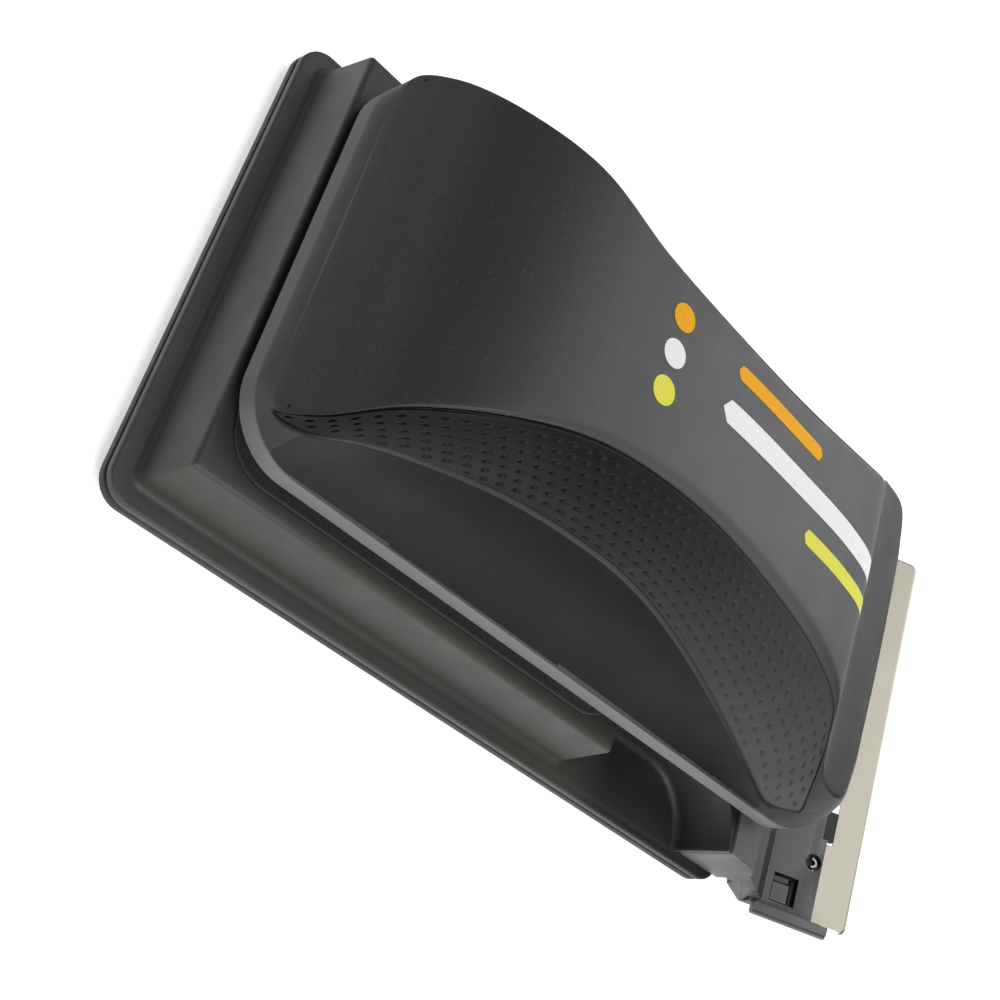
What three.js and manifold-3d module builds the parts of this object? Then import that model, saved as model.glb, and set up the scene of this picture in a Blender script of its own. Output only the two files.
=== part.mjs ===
// Magnetic glass cleaner for aquariums and ponds, in millimetres, +Z up.
//
// The wet half (the cleaner) lies below on its scrub pad; the dry half (the handle) lies on top of it.
// X runs from the thick end of the handle (-X) to the blade end (+X). The near side is -Y.
// The origin is at the centre of the footprint, on the surface that the scrub pad rests on.

import * as THREE from 'three';
import Module from 'manifold-3d';
import { mergeVertices } from 'three/addons/utils/BufferGeometryUtils.js';

const wasm = await Module();
wasm.setup();

// ---------------------------------------------------------------- driving dimensions
const GAP = 0.3; // clearance between pieces that touch on the real object
const CENTRE_SHIFT = -13.5; // the blade end reaches further out than the other end

// cleaner: flange in two layers, with a magnet box and a flared float block on it
const FLANGE_X0 = -76.5;
const FLANGE_X1 = 73.7;
const FLANGE_LENGTH = FLANGE_X1 - FLANGE_X0;
const FLANGE_MIDDLE = (FLANGE_X0 + FLANGE_X1) / 2;
const FLANGE_WIDTH = 90;
const FLANGE_RADIUS = 5;
const LAYER = 1.85; // thickness of each flange layer
const SCRUB_THICK = 2.5;
const SCRUB_INSET = 5;
const BASE_Z = SCRUB_THICK + GAP;
const HOUSING_Z = BASE_Z + LAYER + GAP;
const FLANGE_TOP = HOUSING_Z + LAYER;
const BOX_X0 = -72.5;
const BOX_X1 = 25.3;
const BOX_HALF = 41;
const BOX_TOP = 20.1;
const BOX_DRAFT = 1;
const WALL = 2;
const NECK_HALF = 29.5;
const NECK_END = 61;
const SCOOP_RADIUS = 14;
const FLOAT_ROOM_HALF = 26;
const GLIDE_RADIUS = 9;
const GLIDE_THICK = 0.9;
const GLIDE_INSET = 2.7;

// blade mount, carrier and blade: everything lies on a plane that rises towards +X
const MOUNT_X0 = 61.6;
const MOUNT_HALF = 43;
const HEEL_X = 76.3; // step in the mount's underside, just past the flange
const HEEL_Z = 9.9;
const FOLD_X = 85.5;
const FOLD_Z = 9.0;
const INCLINE = THREE.MathUtils.degToRad(30);
const CARRIER_WIDE = 11.6; // from the fold to the carrier's outer edge, along the slope
const CARRIER_THICK = 1.8;
const BLADE_OUT = 20.2; // from the fold to the cutting edge, along the slope
const BLADE_HALF = 43;
const BLADE_THICK = 0.5;
const TAB_OUT = 45.6;
const TAB_LONG = 15.1;
const TAB_ROOT = 1; // the tab starts this far inside the fold
const TAB_TOP = 0.7;
const TAB_BOTTOM = -1.5;
const TONGUE_UNDER = 2; // how far the carrier reaches under the mount's lip
const SLOT_IN = 17;
const SLOT_OUT = 26;
const SLOT_U0 = 10.5;
const SLOT_U1 = 13.8;
const PIN_U = 9.6;
const PIN_V = 31.4;
const BLADE_ROOT = 6.8;
const BED_REACH = 9.5; // the mount's bed lies under the carrier this far along the slope
const BED_BACK = -2.5;
const BED_THICK = 2;
const MOUNT_LIP = 1.3; // height of the mount's front lip above the slope
const WINDOW = { u0: 1.3, u1: 7.4, y0: -42.3, y1: -36 }; // opening in the carrier around the latch tongue
const LATCH = { u: 4, y: -39.1, w: -0.6, wide: 3.6, long: 5.2, thick: 1.1 };

// handle: hollow shell, open below, closed by a base plate with felt under it
const FELT_Z = BOX_TOP + GAP + GLIDE_THICK + GAP;
const FELT_THICK = 1.6;
const FELT_INSET = 1;
const LIP_Z = 23.5;
const LIP_TOP = 27.1;
const LIP_HALF = 36.5;
const LIP_X0 = -71.5;
const LIP_X1 = 79;
const LIP_RADIUS_THICK_END = 12;
const LIP_RADIUS_BLADE_END = 18;
const SHELL_WALL = 2.6;
const HANDLE_BASE_Z = LIP_Z;
const BASE_THICK = 1.8;
const BASE_PLAY = 0.9; // the base plate sits loosely inside the skirt
const GRIP_THICK = 1.3;
const GRIP_S0 = 0.15; // the grip insert's start, its tip and its top end, as shares of the palm edge's length
const GRIP_S_TIP = 0.79;
const GRIP_S_TOP = 0.72;
const GRIP_Q0 = 0.54;
const GRIP_Q1 = 0.93;
const POCKET_PLAY_S = 0.003; // play of the grip's pocket, along the handle and up its side
const POCKET_PLAY_Q = 0.01;
const GRIP_DOWN = { y: 0.83, z: 0.56 }; // direction from the grip's face into the handle
const SCOOP_BOW = { inward: 0.72, upward: 0.14 }; // how far the scoop hollows in below the ridge
const GRIP_BOW = { inward: 0.29, upward: 0.64 }; // how far the grip's face swells above the ridge
const PALM_CROWN = 0.4;
const RIDGE_SHARE = 0.525; // height of the ridge as a share of the side, up to where it starts to fall
const RIDGE_FALL_X0 = -16;
const RIDGE_FALL_X1 = 52; // the ridge has come down to the lip here
// palm edge: x, half width, height. Round end, narrow waist, flared low nose.
const PALM_EDGE = [
  [-70.4, 25, 30.4], [-69.4, 31.5, 32.3], [-66.0, 31.6, 38.2], [-59.4, 27.5, 47.8],
  [-47.0, 22.5, 56.2], [-30.6, 16.8, 58.6], [-9.0, 14.5, 58.8], [12.6, 15.3, 57.0],
  [30.0, 17.8, 54.8], [41.4, 21.4, 51.6], [48.6, 26.8, 46.0], [55.0, 31.4, 41.8],
  [63.5, 31.0, 40.0], [66.0, 22, 39.6],
].map(([x, y, z]) => new THREE.Vector3(x, y, z));

// magnets and screws
const MAGNET_LONG = 36;
const MAGNET_X = [-41, -2.6];
const CLEANER_MAGNET_WIDE = 46;
const CLEANER_MAGNET_THICK = 9.4;
const HANDLE_MAGNET_WIDE = 34;
const HANDLE_MAGNET_THICK = 11;
const YOKE_THICK = 2.6;
const YOKE_LONG = 76;
const MAGNET_MIDDLE = -21.8;
const SIDE_FOAM_LONG = 74;
const TRAY_THICK = 4;
const PIN_RADIUS = 1.1;
const SCREW_SHANK = 1.4;
const SCREW_HEAD = 2.7;
const SCREW_HEAD_THICK = 1.1;
const BOSS_RADIUS = 3.4;
const CLEANER_SCREWS = [[-66, -35], [-66, 35], [19, -35], [19, 35]];
const HANDLE_SCREWS = [[-50, -28], [-50, 28], [58, -20], [58, 20]];

// ---------------------------------------------------------------- materials
function material(colour, roughness, metalness) {
  return new THREE.MeshStandardMaterial({ color: colour, roughness, metalness });
}
const blackPlastic = material(0x3a3b3a, 0.55, 0);
const basePlastic = material(0x2c2d2d, 0.6, 0);
const softGrip = material(0x2e2f2f, 0.75, 0);
const feltBlack = material(0x101011, 0.98, 0);
const scrubGrey = material(0x3c4046, 0.95, 0);
const foamGrey = material(0x55585a, 0.9, 0);
const nickel = material(0xb9b9b4, 0.25, 1);
const zincSteel = material(0x8d9093, 0.4, 1);
const bladeSteel = material(0xc8c3b5, 0.35, 1);
const screwSteel = material(0x9b9c9d, 0.35, 1);

// ---------------------------------------------------------------- helpers
function toSolid(geometry) {
  const bare = geometry.clone();
  bare.deleteAttribute('normal');
  bare.deleteAttribute('uv');
  const merged = mergeVertices(bare, 1e-4);
  return new wasm.Manifold(new wasm.Mesh({
    numProp: 3,
    vertProperties: new Float32Array(merged.attributes.position.array),
    triVerts: new Uint32Array(merged.index.array),
  }));
}

function toGeometry(solid) {
  const mesh = solid.getMesh();
  const geometry = new THREE.BufferGeometry();
  geometry.setAttribute('position', new THREE.BufferAttribute(new Float32Array(mesh.vertProperties), 3));
  geometry.setIndex(new THREE.BufferAttribute(new Uint32Array(mesh.triVerts), 1));
  geometry.computeVertexNormals();
  return geometry;
}

function cut(body, ...tools) {
  return toGeometry(tools.reduce((solid, tool) => solid.subtract(toSolid(tool)), toSolid(body)));
}

function join(first, ...others) {
  return toGeometry(others.reduce((solid, other) => solid.add(toSolid(other)), toSolid(first)));
}

// Rounded rectangle centred on the origin; the two radii are for the -X and +X corners.
function roundedRect(length, width, radius, radiusEnd = radius) {
  const x = length / 2;
  const y = width / 2;
  const shape = new THREE.Shape();
  shape.absarc(x - radiusEnd, -y + radiusEnd, radiusEnd, -Math.PI / 2, 0);
  shape.absarc(x - radiusEnd, y - radiusEnd, radiusEnd, 0, Math.PI / 2);
  shape.absarc(-x + radius, y - radius, radius, Math.PI / 2, Math.PI);
  shape.absarc(-x + radius, -y + radius, radius, Math.PI, Math.PI * 1.5);
  shape.closePath();
  return shape;
}

function plate(shape, thick, segments = 6) {
  return new THREE.ExtrudeGeometry(shape, { depth: thick, bevelEnabled: false, curveSegments: segments });
}

// A box between two corners, as a geometry in the assembly's frame.
function block(x0, x1, y0, y1, z0, z1) {
  const geometry = new THREE.BoxGeometry(x1 - x0, y1 - y0, z1 - z0);
  return geometry.translate((x0 + x1) / 2, (y0 + y1) / 2, (z0 + z1) / 2);
}

function rod(radius, z0, z1, x, y, sides = 20) {
  const geometry = new THREE.CylinderGeometry(radius, radius, z1 - z0, sides);
  return geometry.rotateX(Math.PI / 2).translate(x, y, (z0 + z1) / 2);
}

// A profile in X and Z, extruded along Y from -half to +half.
function profileBar(points, half) {
  const shape = new THREE.Shape(points.map(([x, z]) => new THREE.Vector2(x, z)));
  const geometry = new THREE.ExtrudeGeometry(shape, { depth: 2 * half, bevelEnabled: false });
  return geometry.rotateX(Math.PI / 2).translate(0, half, 0);
}

function add(parent, name, geometry, look, position = [0, 0, 0]) {
  const mesh = new THREE.Mesh(geometry, look);
  mesh.name = name;
  mesh.position.set(...position);
  parent.add(mesh);
  return mesh;
}

// ---------------------------------------------------------------- cleaner: housing and base
// The magnet box has drafted walls: its top outline is smaller than its foot.
function draftedBox(x0, x1, half, z0, z1, draft) {
  const geometry = new THREE.BoxGeometry(x1 - x0, 2 * half, z1 - z0);
  const position = geometry.attributes.position;
  for (let i = 0; i < position.count; i += 1) {
    if (position.getZ(i) > 0) {
      position.setX(i, position.getX(i) - Math.sign(position.getX(i)) * draft);
      position.setY(i, position.getY(i) - Math.sign(position.getY(i)) * draft);
    }
  }
  return geometry.translate((x0 + x1) / 2, 0, (z0 + z1) / 2);
}

// Plan of the float block: a neck behind the magnet box that flares to full width through two round scoops.
function floatPlan() {
  const x0 = BOX_X1 - 6;
  const arcX = NECK_END - SCOOP_RADIUS - 0.8;
  const arcY = NECK_HALF + SCOOP_RADIUS;
  const shape = new THREE.Shape();
  shape.moveTo(x0, -NECK_HALF);
  shape.lineTo(arcX, -NECK_HALF);
  shape.absarc(arcX, -arcY, SCOOP_RADIUS, Math.PI / 2, 0.04, true);
  shape.lineTo(NECK_END, -MOUNT_HALF);
  shape.lineTo(NECK_END, MOUNT_HALF);
  shape.absarc(arcX, arcY, SCOOP_RADIUS, -0.04, -Math.PI / 2, true);
  shape.lineTo(x0, NECK_HALF);
  shape.closePath();
  return shape;
}

function housingShell() {
  const flange = plate(roundedRect(FLANGE_LENGTH, FLANGE_WIDTH, FLANGE_RADIUS), LAYER);
  flange.translate(FLANGE_MIDDLE, 0, HOUSING_Z);
  const box = draftedBox(BOX_X0, BOX_X1, BOX_HALF, HOUSING_Z, BOX_TOP, BOX_DRAFT);
  const float = plate(floatPlan(), BOX_TOP - HOUSING_Z, 8).translate(0, 0, HOUSING_Z);
  const boxRoom = draftedBox(
    BOX_X0 + WALL, BOX_X1 - WALL, BOX_HALF - WALL, HOUSING_Z - 1, BOX_TOP - WALL, BOX_DRAFT,
  );
  const floatRoom = block(
    BOX_X1 + 1, NECK_END - WALL, -FLOAT_ROOM_HALF, FLOAT_ROOM_HALF, HOUSING_Z - 1, BOX_TOP - WALL,
  );
  const bosses = CLEANER_SCREWS.map(([x, y]) => rod(BOSS_RADIUS, HOUSING_Z, BOX_TOP - 1, x, y, 14));
  const bores = CLEANER_SCREWS.map(([x, y]) => rod(SCREW_SHANK + GAP, HOUSING_Z - 1, BOX_TOP - 5, x, y, 12));
  const hollow = cut(join(flange, box, float), boxRoom, floatRoom);
  return cut(join(hollow, ...bosses), ...bores);
}

function basePlate() {
  const flat = plate(roundedRect(FLANGE_LENGTH, FLANGE_WIDTH, FLANGE_RADIUS), LAYER);
  flat.translate(FLANGE_MIDDLE, 0, BASE_Z);
  const holes = CLEANER_SCREWS.map(([x, y]) => rod(SCREW_SHANK + GAP, BASE_Z - 1, HOUSING_Z, x, y, 12));
  const sinks = CLEANER_SCREWS.map(
    ([x, y]) => rod(SCREW_HEAD + GAP, BASE_Z - 1, BASE_Z + SCREW_HEAD_THICK + GAP, x, y, 16),
  );
  return cut(flat, ...holes, ...sinks);
}

// A screw standing head down: head from z = 0, shank above it.
function screw(length) {
  const points = [
    [0, 0], [SCREW_HEAD, 0], [SCREW_HEAD, SCREW_HEAD_THICK], [SCREW_SHANK, SCREW_HEAD_THICK],
    [SCREW_SHANK, length - 1], [SCREW_SHANK * 0.4, length], [0, length],
  ].map(([r, z]) => new THREE.Vector2(r, z));
  return new THREE.LatheGeometry(points, 12).rotateX(Math.PI / 2);
}

const assembly = new THREE.Group();
const cleaner = new THREE.Group();
assembly.add(cleaner);
cleaner.position.x = CENTRE_SHIFT;

add(cleaner, 'housing_shell', housingShell(), blackPlastic);
add(cleaner, 'base_plate', basePlate(), basePlastic);
const scrubLength = FLANGE_LENGTH - 2 * SCRUB_INSET;
const scrubWidth = FLANGE_WIDTH - 2 * SCRUB_INSET;
add(
  cleaner, 'scrub_pad', plate(roundedRect(scrubLength, scrubWidth, FLANGE_RADIUS), SCRUB_THICK),
  scrubGrey, [FLANGE_MIDDLE, 0, 0],
);
const glideLength = BOX_X1 - BOX_X0 - 2 * (BOX_DRAFT + GLIDE_INSET);
const glideWidth = 2 * (BOX_HALF - BOX_DRAFT - GLIDE_INSET);
const boxMiddle = (BOX_X0 + BOX_X1) / 2;
add(
  cleaner, 'glide_pad', plate(roundedRect(glideLength, glideWidth, GLIDE_RADIUS), GLIDE_THICK),
  feltBlack, [boxMiddle, 0, BOX_TOP + GAP],
);

const cleanerYokeZ = HOUSING_Z;
const cleanerMagnetZ = cleanerYokeZ + YOKE_THICK + GAP;
add(
  cleaner, 'cleaner_yoke', plate(roundedRect(YOKE_LONG, CLEANER_MAGNET_WIDE, 1), YOKE_THICK),
  zincSteel, [MAGNET_MIDDLE, 0, cleanerYokeZ],
);
MAGNET_X.forEach((x, i) => add(
  cleaner, `cleaner_magnet_${i + 1}`,
  plate(roundedRect(MAGNET_LONG, CLEANER_MAGNET_WIDE, 1), CLEANER_MAGNET_THICK, 2),
  nickel, [x, 0, cleanerMagnetZ],
));
const foamHeight = BOX_TOP - WALL - GAP - HOUSING_Z;
const sideFoamWide = 12;
const sideFoamY = CLEANER_MAGNET_WIDE / 2 + GAP + sideFoamWide / 2;
[['near', -1], ['far', 1]].forEach(([side, sign]) => add(
  cleaner, `float_foam_${side}`, new THREE.BoxGeometry(SIDE_FOAM_LONG, sideFoamWide, foamHeight),
  foamGrey, [MAGNET_MIDDLE, sign * sideFoamY, HOUSING_Z + foamHeight / 2],
));
const endFoamLong = NECK_END - WALL - (BOX_X1 + 1) - 2;
add(
  cleaner, 'float_foam_end', new THREE.BoxGeometry(endFoamLong, 2 * FLOAT_ROOM_HALF - 2, foamHeight),
  foamGrey, [(NECK_END - WALL + BOX_X1 + 1) / 2, 0, HOUSING_Z + foamHeight / 2],
);
CLEANER_SCREWS.forEach(([x, y], i) => add(
  cleaner, `cleaner_screw_${i + 1}`, screw(9), screwSteel, [x, y, BASE_Z + 0.1],
));

// ---------------------------------------------------------------- blade mount and carrier
// Point at u along the slope and w above it, measured from the fold line.
function onSlope(u, w) {
  const c = Math.cos(INCLINE);
  const s = Math.sin(INCLINE);
  return [FOLD_X + u * c - w * s, FOLD_Z + u * s + w * c];
}

const bedTop = -(CARRIER_THICK + BLADE_THICK + 2 * GAP + 0.1);
const bedBottom = bedTop - BED_THICK;
const grooveEnd = -TONGUE_UNDER - GAP;

function bladeMount() {
  const bottom = FLANGE_TOP + GAP;
  return profileBar([
    [MOUNT_X0, bottom], [MOUNT_X0, BOX_TOP], [MOUNT_X0 + 3.4, BOX_TOP],
    [MOUNT_X0 + 6, BOX_TOP - 0.9], [MOUNT_X0 + 8.5, BOX_TOP - 2.4],
    onSlope(0, MOUNT_LIP), onSlope(0, GAP), onSlope(grooveEnd, GAP), onSlope(grooveEnd, bedTop),
    onSlope(BED_REACH, bedTop), onSlope(BED_REACH, bedBottom), onSlope(BED_BACK, bedBottom),
    [HEEL_X, HEEL_Z - 2.3], [HEEL_X, HEEL_Z], [FLANGE_X1, HEEL_Z - 0.7], [FLANGE_X1, bottom],
  ], MOUNT_HALF);
}

// Cutters for the slots, near and far, from the slots' inner edge out to the given place on the slope.
function bladeSlots(outer) {
  return [[-SLOT_OUT, -SLOT_IN], [SLOT_IN, SLOT_OUT]].map(
    ([y0, y1]) => block(SLOT_U0, outer, y0, y1, -CARRIER_THICK - 1, CARRIER_THICK),
  );
}

function carrierPlate() {
  const top = block(-TONGUE_UNDER, CARRIER_WIDE, -MOUNT_HALF - 0.5, MOUNT_HALF, -CARRIER_THICK, 0);
  const tab = block(-TAB_ROOT, TAB_LONG, -TAB_OUT, -MOUNT_HALF - 0.4, TAB_BOTTOM, TAB_TOP);
  const slots = bladeSlots(CARRIER_WIDE + 1);
  const holes = [-1, 1].map((s) => rod(PIN_RADIUS + 0.6, -3, 1, PIN_U, s * PIN_V, 20));
  const window = block(WINDOW.u0, WINDOW.u1, WINDOW.y0, WINDOW.y1, -CARRIER_THICK - 1, 1);
  return cut(join(top, tab), ...slots, ...holes, window);
}

function bladeSheet() {
  const wide = BLADE_OUT - BLADE_ROOT;
  const sheet = plate(roundedRect(wide, 2 * BLADE_HALF, 0.5, 1.6), BLADE_THICK, 4);
  sheet.translate((BLADE_OUT + BLADE_ROOT) / 2, 0, 0);
  const slots = bladeSlots(SLOT_U1);
  const holes = [-1, 1].map((s) => rod(PIN_RADIUS + 0.4, -1, 2, PIN_U, s * PIN_V, 20));
  return cut(sheet, ...slots, ...holes);
}

add(cleaner, 'blade_mount', bladeMount(), blackPlastic);
const slope = new THREE.Group();
slope.position.set(FOLD_X, 0, FOLD_Z);
slope.rotation.y = -INCLINE;
cleaner.add(slope);
add(slope, 'blade_carrier', carrierPlate(), blackPlastic);
add(slope, 'blade', bladeSheet(), bladeSteel, [0, 0, -CARRIER_THICK - GAP - BLADE_THICK]);
[['near', -1], ['far', 1]].forEach(([side, sign]) => add(
  slope, `blade_pin_${side}`, rod(PIN_RADIUS, 0, 2.2, 0, 0, 16), screwSteel, [PIN_U, sign * PIN_V, -2.6],
));
add(
  slope, 'latch_tongue', new THREE.BoxGeometry(LATCH.wide, LATCH.long, LATCH.thick),
  blackPlastic, [LATCH.u, LATCH.y, LATCH.w],
);

// ---------------------------------------------------------------- handle shell
const palmCurve = new THREE.CatmullRomCurve3(PALM_EDGE);

function lipHalfWidth(x, inset) {
  const fromThickEnd = Math.max(x - LIP_X0 - inset, 0);
  const fromBladeEnd = Math.max(LIP_X1 - inset - x, 0);
  const corner = (distance, radius) => {
    const left = Math.max(radius - distance, 0);
    return radius - Math.sqrt(radius * radius - left * left);
  };
  const near = corner(fromThickEnd, LIP_RADIUS_THICK_END - inset);
  const far = corner(fromBladeEnd, LIP_RADIUS_BLADE_END - inset);
  return LIP_HALF - inset - near - far;
}

// How much of the side profile is the scooped grip (1) and how much the plain rounded end (0).
function gripShare(palmX) {
  const rise = THREE.MathUtils.smoothstep(palmX, -69, -58);
  const fall = 1 - THREE.MathUtils.smoothstep(palmX, 44, 60);
  return rise * fall;
}

// Share of the side's height at which the ridge runs: level at the thick end, down to the lip at the
// blade end.
function ridgeShare(palmX) {
  const along = THREE.MathUtils.clamp((palmX - RIDGE_FALL_X0) / (RIDGE_FALL_X1 - RIDGE_FALL_X0), 0, 1);
  return RIDGE_SHARE * (1 - Math.pow(along, 1.8));
}

// Side profile from the lip (q = 0) to the palm edge (q = 1): a concave lower scoop up to the ridge at
// q = 0.5, then a convex grip surface. Returns the inward and upward shares.
function sideProfile(q, share, ridge) {
  const bend = (a, b, c, t) => (1 - t) * (1 - t) * a + 2 * t * (1 - t) * b + t * t * c;
  const t = q < 0.5 ? 2 * q : 2 * q - 1;
  const rest = 1 - ridge;
  const part = (scoop, grip) => (
    q < 0.5 ? bend(0, scoop * ridge, ridge, t) : bend(ridge, ridge + grip * rest, 1, t)
  );
  const gripIn = part(SCOOP_BOW.inward, GRIP_BOW.inward);
  const gripUp = part(SCOOP_BOW.upward, GRIP_BOW.upward);
  const endIn = Math.pow(q, 1.2);
  const endUp = Math.pow(q, 0.85);
  return [endIn + (gripIn - endIn) * share, endUp + (gripUp - endUp) * share];
}

// Outer surface of the handle: s runs along it, b across it (-1 near, +1 far), q up its side.
function handlePoint(s, b, q, inset, below) {
  const palm = palmCurve.getPoint(s);
  const along = (palm.x - PALM_EDGE[0].x) / (PALM_EDGE.at(-1).x - PALM_EDGE[0].x);
  const lipX = THREE.MathUtils.lerp(LIP_X0 + inset, LIP_X1 - inset, along);
  const [inward, upward] = sideProfile(Math.max(q, 0), gripShare(palm.x), ridgeShare(palm.x));
  const palmX = palm.x + inset * (1 - 2 * along);
  const halfWidth = THREE.MathUtils.lerp(lipHalfWidth(lipX, inset), palm.y - inset, inward);
  const crown = q >= 1 ? PALM_CROWN * (1 - b * b) : 0;
  const risen = THREE.MathUtils.lerp(LIP_TOP - inset * 0.4, palm.z - inset, upward) + crown;
  const z = q < 0 ? LIP_Z - below : risen;
  return new THREE.Vector3(THREE.MathUtils.lerp(lipX, palmX, inward), b * halfWidth, z);
}

// A box bent to the handle's outer surface, made smaller by the inset.
function handleSolid(inset, below, stations, across, levels) {
  const geometry = new THREE.BoxGeometry(1, 1, 1, stations, across, levels + 1);
  const position = geometry.attributes.position;
  for (let i = 0; i < position.count; i += 1) {
    const level = Math.round((position.getZ(i) + 0.5) * (levels + 1));
    const q = level === 0 ? -1 : (level - 1) / levels;
    const point = handlePoint(position.getX(i) + 0.5, position.getY(i) * 2, q, inset, below);
    position.setXYZ(i, point.x, point.y, point.z);
  }
  return geometry;
}

// A thick patch on the scooped side, from just above the ridge to just below the palm edge.
// At the blade end it runs out in a tip on the ridge.
function gripPatch(sign, grow, outer, inner) {
  const geometry = new THREE.BoxGeometry(1, 1, 1, 18, 1, 4);
  const position = geometry.attributes.position;
  for (let i = 0; i < position.count; i += 1) {
    const rise = position.getZ(i) + 0.5;
    const end = THREE.MathUtils.lerp(GRIP_S_TIP, GRIP_S_TOP, rise);
    const playS = Math.sign(position.getX(i)) * grow * POCKET_PLAY_S;
    const playQ = Math.sign(position.getZ(i)) * grow * POCKET_PLAY_Q;
    const s = THREE.MathUtils.lerp(GRIP_S0, end, position.getX(i) + 0.5) + playS;
    const q = THREE.MathUtils.lerp(GRIP_Q0, GRIP_Q1, rise) + playQ;
    const depth = sign * position.getY(i) > 0 ? outer : inner;
    const point = handlePoint(s, sign, q, 0, 0);
    position.setXYZ(i, point.x, point.y - sign * depth * GRIP_DOWN.y, point.z - depth * GRIP_DOWN.z);
  }
  return geometry;
}

function handleShell() {
  const outer = handleSolid(0, 0, 30, 6, 8);
  const inner = handleSolid(SHELL_WALL, 1, 24, 4, 4);
  const pockets = [-1, 1].map((sign) => gripPatch(sign, 1, -1.5, GRIP_THICK + GAP));
  const bosses = HANDLE_SCREWS.map(([x, y]) => toGeometry(
    toSolid(rod(BOSS_RADIUS, HANDLE_BASE_Z + BASE_THICK + GAP, 60, x, y, 14)).intersect(toSolid(outer)),
  ));
  const bores = HANDLE_SCREWS.map(([x, y]) => rod(SCREW_SHANK + GAP, 20, HANDLE_BASE_Z + 9.5, x, y, 12));
  return cut(join(cut(outer, inner), ...bosses), ...pockets, ...bores);
}

const handle = new THREE.Group();
handle.position.x = CENTRE_SHIFT;
assembly.add(handle);
add(handle, 'handle_shell', handleShell(), blackPlastic);
[['near', -1], ['far', 1]].forEach(([side, sign]) => add(
  handle, `grip_insert_${side}`, gripPatch(sign, 0, 0, GRIP_THICK), softGrip,
));

const lipMiddle = (LIP_X0 + LIP_X1) / 2;
function lipPlate(inset, thick) {
  const shape = roundedRect(
    LIP_X1 - LIP_X0 - 2 * inset, 2 * (LIP_HALF - inset),
    LIP_RADIUS_THICK_END - inset, LIP_RADIUS_BLADE_END - inset,
  );
  return plate(shape, thick, 5);
}
const baseHoles = HANDLE_SCREWS.flatMap(([x, y]) => [
  rod(SCREW_SHANK + GAP, -1, 4, x - lipMiddle, y, 12),
  rod(SCREW_HEAD + GAP, -1, SCREW_HEAD_THICK + GAP, x - lipMiddle, y, 16),
]);
add(
  handle, 'handle_base', cut(lipPlate(SHELL_WALL + BASE_PLAY, BASE_THICK), ...baseHoles), basePlastic,
  [lipMiddle, 0, HANDLE_BASE_Z],
);
add(handle, 'felt_pad', lipPlate(FELT_INSET, FELT_THICK), feltBlack, [lipMiddle, 0, FELT_Z]);

const trayZ = HANDLE_BASE_Z + BASE_THICK + GAP;
const trayWindows = MAGNET_X.map((x) => block(
  x - MAGNET_MIDDLE - MAGNET_LONG / 2 - GAP, x - MAGNET_MIDDLE + MAGNET_LONG / 2 + GAP,
  -HANDLE_MAGNET_WIDE / 2 - GAP, HANDLE_MAGNET_WIDE / 2 + GAP, -1, TRAY_THICK + 1,
));
add(
  handle, 'magnet_tray',
  cut(plate(roundedRect(YOKE_LONG + 6, HANDLE_MAGNET_WIDE + 8, 3), TRAY_THICK), ...trayWindows),
  basePlastic, [MAGNET_MIDDLE, 0, trayZ],
);
MAGNET_X.forEach((x, i) => add(
  handle, `handle_magnet_${i + 1}`,
  plate(roundedRect(MAGNET_LONG, HANDLE_MAGNET_WIDE, 1), HANDLE_MAGNET_THICK, 2),
  nickel, [x, 0, trayZ],
));
add(
  handle, 'handle_yoke', plate(roundedRect(YOKE_LONG, HANDLE_MAGNET_WIDE, 1), YOKE_THICK),
  zincSteel, [MAGNET_MIDDLE, 0, trayZ + HANDLE_MAGNET_THICK + GAP],
);
HANDLE_SCREWS.forEach(([x, y], i) => add(
  handle, `handle_screw_${i + 1}`, screw(8.5), screwSteel, [x, y, HANDLE_BASE_Z + 0.1],
));

export default assembly;
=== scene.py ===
import math

import bmesh
import bpy
import numpy as np
from mathutils import Matrix, Vector, noise


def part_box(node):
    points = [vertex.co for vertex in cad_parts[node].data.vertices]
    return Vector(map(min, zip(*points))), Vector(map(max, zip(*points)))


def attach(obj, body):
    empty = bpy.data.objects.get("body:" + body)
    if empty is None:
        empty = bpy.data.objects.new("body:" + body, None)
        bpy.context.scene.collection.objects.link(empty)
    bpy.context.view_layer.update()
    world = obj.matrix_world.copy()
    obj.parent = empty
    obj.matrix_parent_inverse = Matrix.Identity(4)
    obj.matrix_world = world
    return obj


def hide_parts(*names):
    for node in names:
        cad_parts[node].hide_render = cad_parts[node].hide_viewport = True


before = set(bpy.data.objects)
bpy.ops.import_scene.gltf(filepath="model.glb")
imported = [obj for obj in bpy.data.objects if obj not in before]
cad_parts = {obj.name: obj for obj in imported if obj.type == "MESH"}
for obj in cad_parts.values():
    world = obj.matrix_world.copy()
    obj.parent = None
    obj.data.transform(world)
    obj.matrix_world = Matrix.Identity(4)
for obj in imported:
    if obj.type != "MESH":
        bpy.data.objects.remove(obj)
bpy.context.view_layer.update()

# Looks of the magnetic glass cleaner. Shapes are worked out in millimetres in the CAD's own frame:
# X along the handle towards the blade, the near side at -Y, the resting face at Z = 0.
MM = 0.001
SHIFT_X = -13.5  # the CAD's own frame sits this far along X in the row frame

GAP = 0.3
FLANGE_X0, FLANGE_X1 = -76.5, 73.7
FLANGE_HALF = 45
FLANGE_RADIUS = 5
LAYER = 1.85
BASE_Z = 2.8
HOUSING_Z = 4.95
FLANGE_TOP = 6.8
BOX_X0, BOX_X1 = -72.5, 25.3
BOX_HALF = 41
BOX_TOP = 20.1
BOX_RADIUS = 1.6
BOX_CORNER = 0.5
DRAFT = 1.0
WALL = 2.0
FOOT_RADIUS = 1.6
NECK_HALF, NECK_END = 29.5, 61.0
SCOOP_RADIUS = 14
FLOAT_ROOM_HALF = 26

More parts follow.
